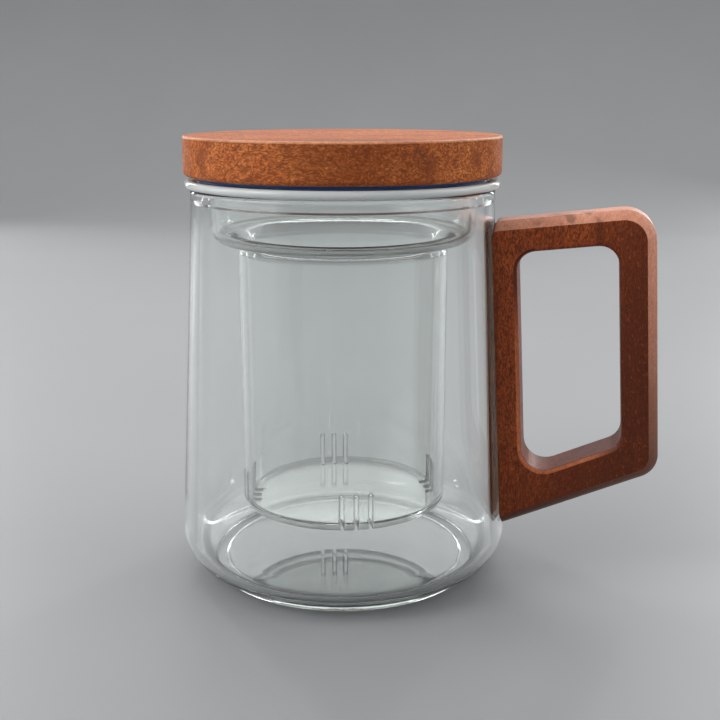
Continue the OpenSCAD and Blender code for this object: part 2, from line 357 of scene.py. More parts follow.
def deepened(finish, colour, density):
    """Gives a glass its depth colour."""
    tree = finish.node_tree
    depth = Wire(tree).node("ShaderNodeVolumeAbsorption", {}, {
        "Color": (*colour, 1), "Density": density})
    tree.links.new(depth.socket, tree.nodes["Material Output"].inputs["Volume"])


mug_clear = blown_glass("mug clear glass", waves=0.10, haze=0.003)
deepened(mug_clear, (0.952, 0.986, 0.966), 50)
infuser_clear = blown_glass("infuser clear glass", waves=0.08, haze=0.003,
                            tints=((0.95, 0.97, 0.955), (0.965, 0.98, 0.97)))
# Painted glow: the next two finishes scatter part of the light as milky white, standing in for the
# light that thick glass gathers at its edge.
infuser_edge_painted_glow = blown_glass("infuser thick edge painted glow glass", waves=0.08, haze=0.10, clear=0.4,
                           tints=((0.92, 0.97, 0.92), (0.97, 0.99, 0.97)))
infuser_ring_painted_glow = blown_glass("infuser thick ring painted glow glass", waves=0.08, haze=0.10, clear=0.55,
                           tints=((0.95, 0.99, 0.95), (0.98, 1.0, 0.98)))
# Painted highlight: the slots' walls and edges are whitened to stand in for the bright lines their
# polished edges catch.
infuser_slot_painted_highlight = blown_glass("infuser slot painted highlight glass", waves=0.3, haze=0.15, clear=0.5,
                             tints=((0.94, 0.96, 0.95), (0.98, 0.99, 0.98)))
print("glass finishes:", [f.name for f in (
    mug_clear, infuser_clear, infuser_edge_painted_glow, infuser_ring_painted_glow, infuser_slot_painted_highlight)])

# %% [markdown]
# ## The mug
# The wall leans out a little towards the base, then turns in through a wide round heel to a
# narrow foot ring. The inside follows, with its own smaller corner above a flat floor. The rim is
# a slightly thicker bead with a crowned top, so that the infuser's flange touches it on one line
# only, as glass on glass does.

# %% Mug body
MUG_TOP, MOUTH_R, BEAD_Z = 113.0, 43.2, 109.4
HEEL, HEEL_R = (36.9, 13.2), 11.5
CORNER, CORNER_R = (38.0, 11.8), 7.0
WALL_TOP_T = 2.7
RIM_IN_R, RIM_CREST_R, BEAD_OUT = 40.35, 41.85, 0.15
HOLLOW_Z, FOOT_IN_R, FOOT_OUT_R = 0.8, 36.0, 39.4


def lean_of(x, z, centre, radius):
    """The lean of a wall from (x, z) down to where it touches a corner's circle, in degrees."""
    along = math.hypot(x - centre[0], z - centre[1])
    return math.degrees(math.atan2(z - centre[1], x - centre[0]) - math.acos(radius / along))


wall_lean = lean_of(MOUTH_R, BEAD_Z, HEEL, HEEL_R)
inner_lean = lean_of(MOUTH_R - WALL_TOP_T, BEAD_Z, CORNER, CORNER_R)
FLOOR_Z = CORNER[1] - CORNER_R
mug_outline = [
    (0, HOLLOW_Z, 0), (35.2, HOLLOW_Z, 0.7), (FOOT_IN_R, 0.0, 0.5),
    (FOOT_OUT_R, 0.0, 0.6), (39.15, 1.6, 0.3),
    tangent_corner(HEEL, HEEL_R, -75.9, wall_lean),
    (MOUTH_R, BEAD_Z, 0.5), (MOUTH_R + BEAD_OUT, BEAD_Z + 0.35, 0.5),
    (MOUTH_R + BEAD_OUT, MUG_TOP - 0.05, 1.1), (RIM_CREST_R, MUG_TOP - 0.01, 0),
    (RIM_IN_R, MUG_TOP - 0.05, 1.1),
    (RIM_IN_R, BEAD_Z + 0.35, 0.5), (MOUTH_R - WALL_TOP_T, BEAD_Z, 0.5),
    tangent_corner(CORNER, CORNER_R, inner_lean, -90), (0, FLOOR_Z, 0),
]
mug_rows = supported(rounded(mug_outline, step=5))
points, faces, _ = swing(mug_rows, even_columns(256))
piece_from("mug_body_glass", points, faces, mug_clear, "mug", "mug_glass")
print("wall leans", round(wall_lean, 2), "degrees; floor is", FLOOR_Z, "mm up")

# %% [markdown]
# ## The infuser's columns
# The slots are cut straight through the tube's bottom corner, three side by side in each of four
# groups. Cutting them with a boolean would leave ragged shading in clear glass. So the columns of
# points are laid out for them: near a group they run parallel, each at its own distance y from
# the group's middle, and between the groups they spread out evenly.

# %% Columns that run along the slots
TUBE_R, TUBE_IN_R, TUBE_Z, TUBE_FLOOR_Z = 30.3, 27.8, 19.8, 21.6
SLOT_W, SLOT_PITCH, SLOT_TOP, SLOT_END_R, SLOT_TURN = 1.05, 3.95, 30.3, 25.0, -70.5
GROUPS = 4
DIAGONAL = 0.7071                           # half way round a slot's end, as a part of half_w
half_w = SLOT_W / 2
across = half_w * np.array([-1, -DIAGONAL, 0, DIAGONAL, 1])
slot_mids = SLOT_PITCH * np.array([-1, 0, 1])
group_edge = 7.0                            # the last parallel column's distance, in mm
hold_in = SLOT_END_R - 1.2                  # further in, the columns close up towards the axis
beside = [m + s * d for m in slot_mids for s in (-1, 1) for d in (0.8, 1.15)]
parallel = np.unique(np.round(np.concatenate([
    *[m + across for m in slot_mids], beside,
    [s * d for s in (-1, 1) for d in (SLOT_PITCH / 2, 6, group_edge)]]), 4))
edge_angle = math.asin(group_edge / TUBE_R)
sector = math.pi / GROUPS
fan = np.linspace(edge_angle, sector, 19)[1:]


def slot_columns(radius):
    """Angles of all the columns at a radius, group by group."""
    held = min(max(radius, hold_in), TUBE_R)
    inside = np.arcsin(parallel / held)
    drift = math.asin(group_edge / held) - edge_angle
    spread = fan + drift * (sector - fan) / (sector - edge_angle)
    one = np.concatenate([-spread[:-1][::-1], inside, spread])
    turns = math.radians(SLOT_TURN) + np.arange(GROUPS) * 2 * sector
    return np.concatenate([t + one for t in turns])


per_group = len(slot_columns(TUBE_R)) // GROUPS
print(per_group, "columns in each of", GROUPS, "groups")

# %% [markdown]
# ## The infuser's rows
# From the middle of its bottom the outline goes out round the tube's corner, up to the shoulder,
# out and up the head, round the thick flange that hangs on the rim, and back down the inside. The
# rows that a slot crosses come in equal numbers outside and inside, so that its walls join them
# point for point.

# %% Infuser rows
FLANGE_R, FLANGE_Z, EDGE_R = 44.85, 115.5, 1.2
SHOULDER_Z, SHOULDER_IN_Z, SHOULDER_R = 97.6, 99.4, 4.5
BOTTOM_R, BOTTOM_IN_R = 2.5, 0.9            # roundings of the tube's bottom corner
edge_mid = (FLANGE_R - EDGE_R, FLANGE_Z - EDGE_R)
shoulder_mid = (33.3, SHOULDER_Z + SHOULDER_R)
bottom_mid = (TUBE_R - BOTTOM_R, TUBE_Z + BOTTOM_R)
bottom_in_mid = (TUBE_IN_R - BOTTOM_IN_R, TUBE_FLOOR_Z + BOTTOM_IN_R)
crossed = 9                                 # rows on the wall between corner and slot top


def slot_rows(corner_mid, radius, flat_z):
    """Rows a slot crosses: along the bottom, round the corner and up the wall."""
    flat = [(x, flat_z) for x in (SLOT_END_R, SLOT_END_R + half_w)]
    flat += [(x, flat_z) for x in np.linspace(SLOT_END_R + half_w, corner_mid[0], 4)[1:-1]]
    bend = [tuple(p[:2]) for p in arc(corner_mid, radius, -90, 0, 8)]
    heights = np.linspace(corner_mid[1], SLOT_TOP - half_w, crossed)[1:]
    wall = [(corner_mid[0] + radius, z) for z in (*heights, SLOT_TOP)]
    return [np.array(p) for p in flat + bend + wall]


outer_slot = slot_rows(bottom_mid, BOTTOM_R, TUBE_Z)
inner_slot = slot_rows(bottom_in_mid, BOTTOM_IN_R, TUBE_FLOOR_Z)[::-1]
over_head = rounded([
    (TUBE_R, SLOT_TOP + 1, 0), (TUBE_R, SHOULDER_Z, 3.0), (37.75, SHOULDER_Z, SHOULDER_R),
    (38.5, MUG_TOP, 1.4), (43.15, MUG_TOP, 0.5), *arc(edge_mid, EDGE_R, -60, 90, 24),
    (37.2, FLANGE_Z, 1.8), (35.98, SHOULDER_IN_Z, 2.8), (TUBE_IN_R, SHOULDER_IN_Z, 4.0),
    (TUBE_IN_R, SLOT_TOP + 1, 0)], step=6)
floor_in = [np.array(p) for p in ((SLOT_END_R - 1, TUBE_FLOOR_Z), (12.0, TUBE_FLOOR_Z),
                                  (0.0, TUBE_FLOOR_Z))]
floor_out = [np.array((p[0], TUBE_Z)) for p in floor_in[::-1]]
infuser_rows = [*floor_out, *outer_slot, *supported(over_head), *inner_slot, *floor_in]
first_out = len(floor_out)
first_in = len(infuser_rows) - len(floor_in) - len(inner_slot)
span = len(outer_slot) - 1
print(len(infuser_rows), "rows, of which a slot crosses", span + 1, "on each side")

# %% [markdown]
# ## Cutting the slots
# Each slot leaves out the cells between its five columns. Its two ends are half circles, so the
# three middle points of the end rows move on to them and the corner cells become triangles. The
# walls then join the outer edge of the hole to the inner one, and both edges are rounded off as
# if fire-polished.

# %% Infuser with its slots
cells, ends, loops = set(), [], []
for group in range(GROUPS):
    for mid in slot_mids:
        j0 = group * per_group + len(fan) - 1 + int(np.argmin(abs(parallel - (mid - half_w))))
        cells |= {(first + i, j0 + j) for first in (first_out, first_in)
                  for i in range(span) for j in range(4)}
        up = [(i, 0) for i in range(1, span)] + [(span, j) for j in (1, 2, 3)]
        down = [(i, 4) for i in range(span - 1, 0, -1)] + [(0, j) for j in (3, 2, 1)]
        loops.append([(i, j0 + j) for i, j in up + down])
        ends.append(j0)

points, faces, index = swing(infuser_rows, slot_columns, skip=cells)
points = [list(p) for p in points]


def vertex(row, column, outside):
    """The point where a slot's row, counted from its bottom end, crosses a column."""
    return index[first_out + row if outside else first_in + span - row][column]


for j0 in ends:
    for outside in (True, False):
        for j, reach in ((1, DIAGONAL), (2, 1.0), (3, DIAGONAL)):
            top = points[vertex(span, j0 + j, outside)]
            top[2] = SLOT_TOP - half_w + half_w * reach
            low = points[vertex(0, j0 + j, outside)]
            wanted = SLOT_END_R + half_w - half_w * reach
            scale = wanted / math.hypot(low[0], low[1])
            low[0], low[1] = low[0] * scale, low[1] * scale
        for side, end in ((0, 1), (4, 3)):
            for last, before in ((span, span - 1), (0, 1)):
                faces.append([vertex(before, j0 + side, outside), vertex(last, j0 + side, outside),
                              vertex(last, j0 + end, outside)])
edges = set()
for loop in loops:
    for (i, j), (k, m) in zip(loop, loop[1:] + loop[:1]):
        out_a, out_b = vertex(i, j, True), vertex(k, m, True)
        in_a, in_b = vertex(i, j, False), vertex(k, m, False)
        faces.append([out_a, out_b, in_b, in_a])
        edges |= {frozenset((out_a, out_b)), frozenset((in_a, in_b))}
print(len(loops), "slots,", len(edges), "edges to polish")

# %% Fire-polish the slots and finish the infuser


def polished(name, points, faces, edges, width):
    """Rounds the given edges of a mesh and returns its points and faces, in millimetres."""
    mesh = bpy.data.meshes.new(name)
    mesh.from_pydata(points, [], faces)
    shape = bmesh.new()
    shape.from_mesh(mesh)
    bmesh.ops.recalc_face_normals(shape, faces=shape.faces)
    picked = [e for e in shape.edges if frozenset(v.index for v in e.verts) in edges]
    bmesh.ops.bevel(shape, geom=picked, offset=width, segments=3, profile=0.5,
                    affect="EDGES", clamp_overlap=True)
    shape.verts.index_update()
    rounded_points = [tuple(v.co) for v in shape.verts]
    rounded_faces = [[v.index for v in f.verts] for f in shape.faces]
    shape.free()
    bpy.data.meshes.remove(mesh)
    return rounded_points, rounded_faces


POLISH = 0.24
ON_SURFACE = 0.2                            # how far off, in mm, a face still counts as on it
points, faces = polished("slots", points, faces, edges, POLISH)


def on_slot(place):
    """Whether a face belongs to a slot: its walls and their rounded edges."""
    turn = math.atan2(place.y, place.x) - math.radians(SLOT_TURN)
    local = (turn + sector) % (2 * sector) - sector
    radius = math.hypot(place.x, place.y)
    out, aside = radius * math.cos(local), radius * math.sin(local)
    past_end = max(0, place.z - (SLOT_TOP - half_w), SLOT_END_R + half_w - out)
    return min(math.hypot(aside - mid, past_end) for mid in slot_mids) < half_w + POLISH


def on_bend(place, centre, radius, start, end):
    """Whether a face lies on a rounded corner of the outline, between two angles."""
    out, up = math.hypot(place.x, place.y) - centre[0], place.z - centre[1]
    near = abs(math.hypot(out, up) - radius) < ON_SURFACE
    return near and start < math.degrees(math.atan2(up, out)) < end


def on_flange_edge(place):
    """Whether a face is on the round outer edge of the flange."""
    return place.z > MUG_TOP - 0.1 and math.hypot(place.x, place.y) > 42.9


def on_ring(place):
    """Whether a face is on the shoulder or the bottom corner, which are seen from their edge."""
    return (on_bend(place, shoulder_mid, SHOULDER_R, -91, -28)
            or on_bend(place, bottom_mid, BOTTOM_R, -91, 1))


# The flange edge and the two rings take the painted glow; the slots take the painted highlight.
piece_from("infuser_body_glass", points, faces, infuser_clear,
           "infuser", "infuser_glass",
           zones=((infuser_edge_painted_glow, on_flange_edge), (infuser_ring_painted_glow, on_ring),
                  (infuser_slot_painted_highlight, on_slot)))

# %% [markdown]
# ## Oiled wood
# Lid and handle are the same reddish hardwood. Up close it has layers: broad bands where the
# growth rings pass with darker lines of late growth, pale streaks, short dark fibres, fine curly
# hairs and a few bright glints. All of them are noise on the place in the piece, stretched along
# the grain, so they run through the solid as in real timber: lines on a long face, dots on an
# end. The fibres also sink into the bump, and the oil gives a thin coat over a satin surface.
#
# One function makes every wood finish. The lid and the handle differ in tone and curl. The
# handle darkens towards its grip and foot and the lid at its front, which is painted shade, on the
# lid partly its dark figure. The edges that catch the lamps have a paler, smoother finish of
# their own, a painted highlight, which fades into the darker wood as painted shade.

# %% Wood finish


def drifted(place, scale, reach):
    """The place pushed about by soft noise, by up to `reach` metres, so that lines there wander."""
    push = place.node("ShaderNodeTexNoise", {}, {"Vector": place, "Scale": scale, "Detail": 1.0},
                      out=1)
    return place.node("ShaderNodeVectorMath", {"operation": "MULTIPLY_ADD"}, {
        0: push, 1: (reach, reach, reach), 2: place})


def threads(place, width):
    """Fine curly lines: 1 on the line where soft noise crosses its middle, 0 beside it."""
    off = cloud(place, detail=2, rough=0.55) - 0.5
    return off.maths("ABSOLUTE", off, 0).between(width, width * 0.25)


def hardwood(name, grain, dark, mid, light, curl, flecks, satin, painted_shade=None, marks=1.0):
    """Oiled hardwood.

    grain turns the fibres from upright; the three tones are linear colours; curl is how far the
    fibres wander, in metres; flecks is how many there are per metre, across and along the fibres;
    the darkening function, given a place, says from 0 to 1 where the wood turns to its dark tone,
    which is painted shade, on the lid partly its dark figure; marks is how strongly the flecks show,
    less on the smoother edge finishes that are painted highlight.
    """
    finish, shader, place = start_finish(name)
    along = place.node("ShaderNodeVectorRotate", {"rotation_type": "EULER_XYZ"}, {
        "Vector": place, "Rotation": grain})
    wavy = drifted(along, 40, 0.005)
    curly = drifted(wavy, 330, curl)
    across, length = flecks
    rings = cloud(stretched(wavy, (110, 90, 9)), rough=0.6).between(0.36, 0.64)
    late = cloud(stretched(wavy, (170, 190, 6)), detail=2).between(0.55, 0.66)
    streaks = cloud(stretched(wavy, (900, 900, 40)), rough=0.6).between(0.38, 0.62)
    fibres = cloud(stretched(curly, (across, across, length)), detail=2, rough=0.6)
    hairs = threads(stretched(curly, (across * 0.55, across * 0.55, length * 0.55)), 0.045)
    fine = cloud(stretched(curly, (across * 2, across * 2, length * 2)), detail=1)
    glints = cloud(stretched(curly, (across * 1.5, across * 1.3, length * 1.3)),
                   detail=1).between(0.62, 0.70)
    patches = cloud(place, scale=75, detail=4, rough=0.6).between(0.4, 0.7)
    body = tinted(rings * 0.5 + patches * 0.5, mid, light)
    body = tinted(streaks * 0.25, body, light)
    body = tinted(glints * (0.5 * marks), body, tuple(min(1, 1.3 * c) for c in light))
    body = tinted(late * 0.5, body, dark)
    if painted_shade:
        body = tinted(painted_shade(place), body, dark)
    body = tinted(fibres.between(0.40, 0.62) * (0.55 * marks), body, tuple(0.40 * c for c in mid))
    body = tinted(hairs * (0.45 * marks), body, tuple(0.35 * c for c in mid))
    body = tinted(fine.between(0.40, 0.62) * (0.30 * marks), body, dark)
    body = tinted(glints * (0.18 * marks), body, light)
    relief = fine * 0.5 - fibres * 0.4 - hairs * 0.3 + streaks * 0.2
    feed(shader,
         Base_Color=body,
         Roughness=satin + 0.10 * fine + 0.08 * hairs,
         Specular_IOR_Level=0.22,
         Coat_Weight=0.06 - 0.04 * hairs,
         Coat_Roughness=0.3,
         Normal=relief.node("ShaderNodeBump", {}, {
             "Height": relief, "Strength": 0.35, "Distance": 0.0001}))
    return finish


def srgb(red, green, blue):
    """A screen colour from 0 to 255 as the linear colour that shaders take."""
    parts = np.array([red, green, blue]) / 255
    return tuple(float(c) for c in np.where(parts <= 0.04045, parts / 12.92,
                                            ((parts + 0.055) / 1.055) ** 2.4))


def axis_of(place, axis):
    """One coordinate, x, y or z, of a place."""
    return place.node("ShaderNodeSeparateXYZ", {}, {0: place}, out="xyz".index(axis))


def painted_shade_to_grip(place):
    """Painted shade: darker towards the grip and the foot of the handle."""
    out = axis_of(place, "x") - 0.25 * axis_of(place, "z") + 0.012 * cloud(place, scale=45)
    return out.between(0.028, 0.080) * 0.85


def front_figure_and_painted_shade(place):
    """A darker patch in the lid's front edge that fades out across the disc: partly the wood's dark
    figure, partly painted shade where the side lamps light the front less.
    """
    off = axis_of(place, "x") - 0.010 + 0.012 * (cloud(place, scale=110, detail=4) - 0.5)
    beside = off.maths("ABSOLUTE", off, 0).between(0.023, 0.006)
    return beside * axis_of(place, "y").between(-0.015, -0.035) * 0.5


def painted_shade_to_foot(place):
    """Painted shade on the rim's painted highlight: from 0 at the top of the handle to 1 at its
    foot.
    """
    return axis_of(place, "z").between(0.105, 0.022) * 0.95


def painted_highlight_fade(place):
    """Painted shade that fades the painted highlight: from 0 where the finger lies in the opening to
    1 at the edge line's two ends.
    """
    return axis_of(place, "z").between(0.066, 0.090) + axis_of(place, "x").between(0.070, 0.082)


lid_tones = {"dark": srgb(112, 44, 12), "mid": srgb(190, 95, 36), "light": srgb(234, 140, 72)}
lid_grain = {"grain": (0, math.radians(90), math.radians(4)), "curl": 0.0022,
             "flecks": (1500, 500)}
# The lid's timber darkens at its front: partly its figure, partly painted shade.
lid_timber = hardwood("lid hardwood", **lid_tones, **lid_grain, satin=0.54, painted_shade=front_figure_and_painted_shade,
                      marks=1.25)
# Painted highlight: paler, smoother wood on the small round of the lid's top edge, where the lamps
# catch it.
lid_edge_painted_highlight = hardwood("lid top edge painted highlight", dark=srgb(160, 86, 50), mid=srgb(208, 130, 84),
                      light=srgb(228, 158, 112), **lid_grain, satin=0.32, marks=0.5)
handle_grain = {"grain": (0, math.radians(3), 0), "curl": 0.0005, "flecks": (1700, 620)}
# The handle's timber takes painted shade towards its grip and foot.
handle_timber = hardwood("handle hardwood", dark=srgb(44, 13, 4), mid=srgb(162, 71, 27),
                         light=srgb(194, 94, 41), **handle_grain, satin=0.38, painted_shade=painted_shade_to_grip,
                         marks=1.2)
# Painted highlight on the handle's rim, turning to painted shade towards the foot.
handle_rim_painted_highlight = hardwood("handle rim painted highlight", dark=srgb(70, 32, 20), mid=srgb(212, 138, 108),
                         light=srgb(234, 166, 136), **handle_grain, satin=0.30,
                         painted_shade=painted_shade_to_foot, marks=0.35)
# Painted highlight along the crest of the opening's edge, fading out as painted shade at its ends.
finger_edge_painted_highlight = hardwood("handle finger edge painted highlight", dark=srgb(84, 32, 12), mid=srgb(186, 98, 56),
                       light=srgb(214, 126, 78), **handle_grain, satin=0.30,
                       painted_shade=painted_highlight_fade, marks=0.5)
print("wood finishes:", [f.name for f in (
    lid_timber, lid_edge_painted_highlight, handle_timber, handle_rim_painted_highlight, finger_edge_painted_highlight)])

# %% [markdown]
# ## The lid
# The lid is a turned disc with a small round on its top edge and a larger one below. A plug on
# its underside goes into the infuser, with a groove that holds the seal.

# %% Lid disc
LID_R, LID_Z, LID_TOP, TOP_ROUND = 45.0, 116.5, 127.5, 0.6
PLUG_R, PLUG_Z, GROOVE_R, GROOVE_Z = 36.3, 111.5, 35.3, 112.7
lid_outline = [
    (0, PLUG_Z, 0), (PLUG_R, PLUG_Z, 0.4), (PLUG_R, GROOVE_Z, 0.15), (GROOVE_R, GROOVE_Z, 0.1),
    (GROOVE_R, LID_Z, 0.1), (LID_R, LID_Z, 1.3), (LID_R, LID_TOP, TOP_ROUND), (0, LID_TOP, 0),
]
points, faces, _ = swing(supported(rounded(lid_outline, step=8)), even_columns(240))


def on_top_edge(place):
    """Whether a face lies on the small round between the lid's top and side."""
    radius = math.hypot(place.x, place.y)
    return place.z > LID_TOP - TOP_ROUND and radius > LID_R - TOP_ROUND - 0.02


# The small round on the top edge takes the painted highlight finish.
piece_from("lid_disc_wood", points, faces, lid_timber, "lid", "lid_wood",
           zones=((lid_edge_painted_highlight, on_top_edge),))

# %% [markdown]
# ## The seal
# A soft ring of dark blue silicone: a sleeve round the plug with one raised rib, and a lip that
# lies on the infuser's flange and shows as a thin blue line under the lid. Silicone is matt with
# a faint sheen, and it picks up a little dust, which shows as slightly paler patches.

# %% Seal ring
seal_silicone, shader, place = start_finish("seal silicone")
dust = cloud(stretched(place, (500, 500, 900)), detail=4, rough=0.6).between(0.4, 0.75)
moulding = cloud(place, scale=1400, detail=2)
feed(shader,
     Base_Color=tinted(dust * 0.4, srgb(12, 70, 146), srgb(34, 96, 170)),
     Roughness=0.32 + 0.2 * dust,
     Sheen_Weight=0.05,
     Normal=moulding.node("ShaderNodeBump", {}, {
         "Height": moulding, "Strength": 0.15, "Distance": 0.00005}))
SEAL_GAP = 0.02                             # keeps the seal's faces off those of its neighbours
SEAL_IN, SLEEVE_R, LIP_R = GROOVE_R + SEAL_GAP, 36.9, 41.3
seal_low, lip_low, lip_high = GROOVE_Z + SEAL_GAP, FLANGE_Z + SEAL_GAP, LID_Z - SEAL_GAP
seal_outline = [
    (SEAL_IN, seal_low, 0.1), (SLEEVE_R, seal_low, 0.25), (SLEEVE_R, 113.6, 0.2),
    (SLEEVE_R + 0.1, 114.1, 0.5), (SLEEVE_R, 114.6, 0.2), (SLEEVE_R, lip_low, 0.2),
    (LIP_R, lip_low, 0.3), (LIP_R, lip_high, 0.3), (SEAL_IN, lip_high, 0.1),
]
seal_rows = supported(rounded(seal_outline, closed=True, step=15), near=0.1, closed=True)
points, faces, _ = swing(seal_rows, even_columns(200), ring=True)
piece_from("lid_seal_ring", points, faces, seal_silicone, "lid", "lid_seal")

# %% [markdown]
# ## The handle
# The handle is a flat plate of wood with one big opening. Its outer edges are bevelled, with a
# faint crown, and the opening's edges are rounded. Its outline is four edge lines: the
# bottom arm, the grip, the top arm and the glass. It could be cut from a block with booleans,
# but each rounding would then need cleaning. Instead the same outline is drawn again and again,
# a little smaller as it goes round the edge of the plate, then the opening's outline the same
# way, and all these loops are joined like the hoops of a barrel. The plate's rim and the crest
# of the opening's edge take paler finishes, which are painted highlight.

# %% Outlines of the plate and its opening
HANDLE_T, BEVEL, CROWN, HOLE_ROUND = 14.0, 2.5, 0.25, 1.3
BOND_SPACE = 0.35                           # glass to wood, filled by the adhesive
LOW_Z, TOP_Z, HANDLE_REACH = 16.3, 104.5, 44.3
LOW_W, GRIP_W, TOP_W, GLASS_W = 11.0, 10.0, 9.1, 6.4    # widths of the four bars
wall_slope = math.tan(math.radians(wall_lean))


def wall_radius(z):
    """The mug's outer radius at a height on its straight wall."""
    return MOUTH_R + (BEAD_Z - z) * wall_slope


def glass_x(y, z, space=BOND_SPACE):
    """How far out the wood begins at a place on the round wall."""
    return math.sqrt((wall_radius(z) + space) ** 2 - y * y)


def moved(line, inwards):
    """A line [point, direction] moved to its left, into the wood."""
    return [np.array(line[0]) + inwards * heading(line[1] + 90), line[1]]


def crossing(line_a, line_b):
    """The point where two lines meet."""
    u, v = heading(line_a[1]), heading(line_b[1])
    gap = np.array(line_b[0]) - np.array(line_a[0])
    return np.array(line_a[0]) + u * (gap[0] * v[1] - gap[1] * v[0]) / (u[0] * v[1] - u[1] * v[0])


middle_z = (LOW_Z + TOP_Z) / 2
low_arm = [(wall_radius(LOW_Z), LOW_Z), 23.7]
grip = [(wall_radius(middle_z) + HANDLE_REACH, middle_z), 93.6]
top_arm = [(wall_radius(TOP_Z), TOP_Z), 186.5]
glass_line = [(MOUTH_R, BEAD_Z), 270 + wall_lean]


def glass_line_at(y):
    """The plate's line along the glass, which lies further in towards the plate's two sides."""
    low, high = (glass_x(y, z) for z in (LOW_Z, TOP_Z))
    return [(high, TOP_Z), 270 + math.degrees(math.atan((low - high) / (TOP_Z - LOW_Z)))]


STEPS_ON_LINE, STEPS_ON_CORNER = (8, 12, 8, 16), 10


def loop_of(lines, radii, y):
    """One hoop: an outline with rounded corners at thickness y, always with as many points."""
    corners = []
    for i, line in enumerate(lines):
        ahead = lines[(i + 1) % 4]
        centre = crossing(moved(line, radii[i]), moved(ahead, radii[i]))
        turn = (ahead[1] - line[1]) % 360
        corners.append([centre + radii[i] * heading(line[1] - 90 + turn * k / STEPS_ON_CORNER)
                        for k in range(STEPS_ON_CORNER + 1)])
    full = []
    for i, corner in enumerate(corners):
        start, end, steps = corners[i - 1][-1], corner[0], STEPS_ON_LINE[i]
        full += [start + (end - start) * k / steps for k in range(1, steps)]
        full += corner
    return [(p[0], y, p[1]) for p in full]


def plate_hoop(y, inset, flat=0.0):
    """The plate's outline moved in by inset, and off the glass by flat."""
    lines = [moved(line, inset) for line in (low_arm, grip, top_arm)]
    lines.append(moved(glass_line_at(y), flat))
    return loop_of(lines, [6.8 - inset, 8.6 - inset, 1.8 - 0.5 * flat, 0.3], y)


def hole_hoop(y, widen):
    """The opening's outline, made wider all round."""
    bars = ((low_arm, LOW_W), (grip, GRIP_W), (top_arm, TOP_W), (glass_line, GLASS_W))
    lines = [moved(line, width) for line, width in bars]
    return loop_of([moved(line, -widen) for line in lines],
                   [r + widen for r in (5.3, 5.3, 5.3, 6.3)], y)


print("plate outline has", len(plate_hoop(0, 0)), "points")

# %% Handle plate
SUPPORT = 0.3                               # from a rounding to the hoop that keeps it apart
side = HANDLE_T / 2
flat_half = side - BEVEL
lift = CROWN / math.sqrt(2)
bevel_line = rounded([                      # (how far in from the outline, how far aside, rounding)
    (0, flat_half - 1, 0), (0, flat_half, 0.6),
    (BEVEL / 2 - lift, flat_half + BEVEL / 2 + lift, 3.0),
    (BEVEL, side, 0.6), (BEVEL + 1, side, 0)], step=7)[1:-1]
hoops = [plate_hoop(y, 0) for y in np.linspace(SUPPORT - flat_half, flat_half - SUPPORT, 7)]
front = [plate_hoop(y, inset) for inset, y in bevel_line]
front += [plate_hoop(side, BEVEL + SUPPORT, SUPPORT)]
front += [hole_hoop(side, HOLE_ROUND + SUPPORT)]
front += [hole_hoop(side - HOLE_ROUND * (1 - math.sin(a)), HOLE_ROUND * (1 - math.cos(a)))
          for a in np.radians(np.linspace(90, 0, 8))]
front += [hole_hoop(side - HOLE_ROUND - SUPPORT, 0)]
back = [[(x, -y, z) for x, y, z in hoop] for hoop in front[::-1]]
hoops = hoops + front + [hole_hoop(0, 0)] + back
size = len(hoops[0])
faces = []
for i in range(len(hoops)):
    for j in range(size):
        k, n = (j + 1) % size, (i + 1) % len(hoops)
        faces.append([i * size + j, i * size + k, n * size + k, n * size + j])


def in_opening(place):
    """Whether a place is past the middle of each bar, so at the opening and not at the rim."""
    inside = (moved(low_arm, 6), moved(grip, 5), moved(top_arm, 5))
    spot = np.array([place.x, place.z])
    past = [(spot - np.array(p)) @ heading(turn + 90) for p, turn in inside]
    return min(past) > 0 and place.x > glass_x(0, place.z) + 3.5


def on_rim(place):
    """Whether a face lies on the plate's rim, which takes the painted highlight."""
    off_glass = place.x > glass_x(place.y, place.z) + 2 * SUPPORT
    return off_glass and abs(place.y) < side - 0.02 and not in_opening(place)


def on_finger_edge(place):
    """Whether a face lies on the crest of the opening's edge, on the sides that catch light, which
    take a painted highlight.
    """
    on_crest = side - 0.62 < abs(place.y) < side - 0.08
    low, near_glass = place.z < 46, place.x < 56
    return on_crest and in_opening(place) and (low or near_glass)


# The rim and the opening's crest take the painted highlight finishes.
handle_piece = piece_from("handle_plate_wood", [p for hoop in hoops for p in hoop], faces,
                          handle_timber, "mug", "handle",
                          zones=((handle_rim_painted_highlight, on_rim), (finger_edge_painted_highlight, on_finger_edge)))
handle_piece.data.set_sharp_from_angle(angle=math.radians(38))

# %% [markdown]
# ## The bond
# Nothing clamps the handle, so an adhesive must hold it. It is a film a quarter of a millimetre
# thick between the wall and the wood, with rounded ends, amber and a little cloudy where it
# trapped air. A part of the wood's colour shows through it and through the glass.

# %% Adhesive film
clear_bond, shader, place = start_finish("clear adhesive")
trapped = cloud(stretched(place, (300, 300, 120)), detail=3).between(0.45, 0.75)
feed(shader,
     Base_Color=tinted(trapped, srgb(176, 104, 40), srgb(206, 150, 84)),
     Roughness=0.12 + 0.2 * trapped,
     Alpha=0.7 + 0.2 * trapped)
FILM_IN, FILM_OUT, FILM_END_R = 0.04, 0.30, 2.7     # distances from the wall; rounding of its ends
film_rows, film_cols = 60, 8
film_low, film_high, film_half = LOW_Z + 1.6, TOP_Z - 2.2, side - 0.7
heights = film_low + (film_high - film_low) * (1 - np.cos(np.linspace(0, math.pi, film_rows))) / 2
sheets = []
for space in (FILM_IN, FILM_OUT):
    for z in heights:
        past = max(0, FILM_END_R - min(z - film_low, film_high - z))
        reach = film_half - FILM_END_R + math.sqrt(max(0, FILM_END_R ** 2 - past ** 2))
        sheets += [(glass_x(y, z, space), y, z)
                   for y in np.linspace(-reach, reach, film_cols)]
layer = film_rows * film_cols
faces = []
